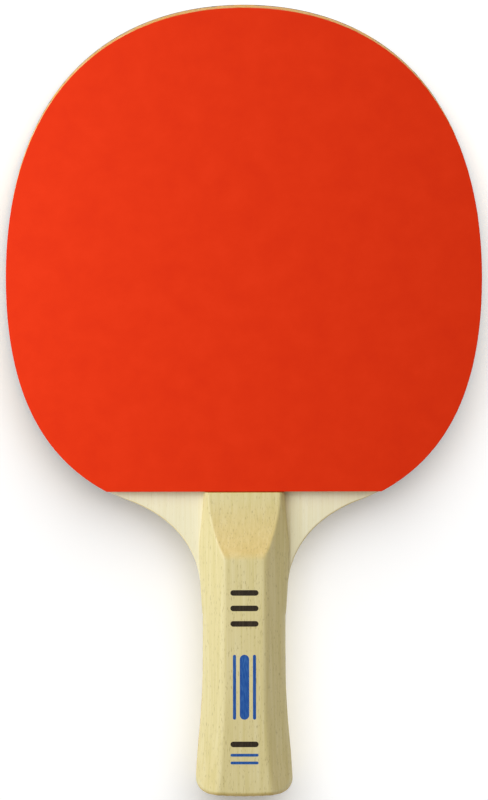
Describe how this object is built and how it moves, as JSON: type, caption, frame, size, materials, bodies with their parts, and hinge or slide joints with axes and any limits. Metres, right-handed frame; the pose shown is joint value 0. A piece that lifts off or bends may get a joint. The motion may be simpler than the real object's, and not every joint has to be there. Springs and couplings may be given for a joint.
{
  "type": "table tennis paddle",
  "caption": "Shakehand table tennis paddle: plywood blade with an oval head, a red and a black rubber on sponge, and a flared wooden handle with scooped ends.",
  "frame": {"origin": "centre of the bounding box's footprint, at the lowest point of the back handle scale when the paddle lies on its black side", "axes": "+X across the head; +Y along the handle from the butt to the head's tip; +Z straight out of the red front face"},
  "size_m": [0.152, 0.2532, 0.024],
  "materials": {
    "core_wood": "matte",
    "cross_ply_wood": "matte",
    "face_veneer_wood": "satin",
    "handle_wood": "satin",
    "yellow_sponge": "matte",
    "red_rubber": "satin",
    "black_rubber": "satin"
  },
  "bodies": {
    "root": {"blade_core": "core_wood", "front_cross_ply": "cross_ply_wood", "back_cross_ply": "cross_ply_wood", "front_face_veneer": "face_veneer_wood", "back_face_veneer": "face_veneer_wood", "front_handle_scale": "handle_wood", "back_handle_scale": "handle_wood", "front_sponge": "yellow_sponge", "back_sponge": "yellow_sponge", "front_topsheet": "red_rubber", "back_topsheet": "black_rubber"}
  },
  "joints": []
}
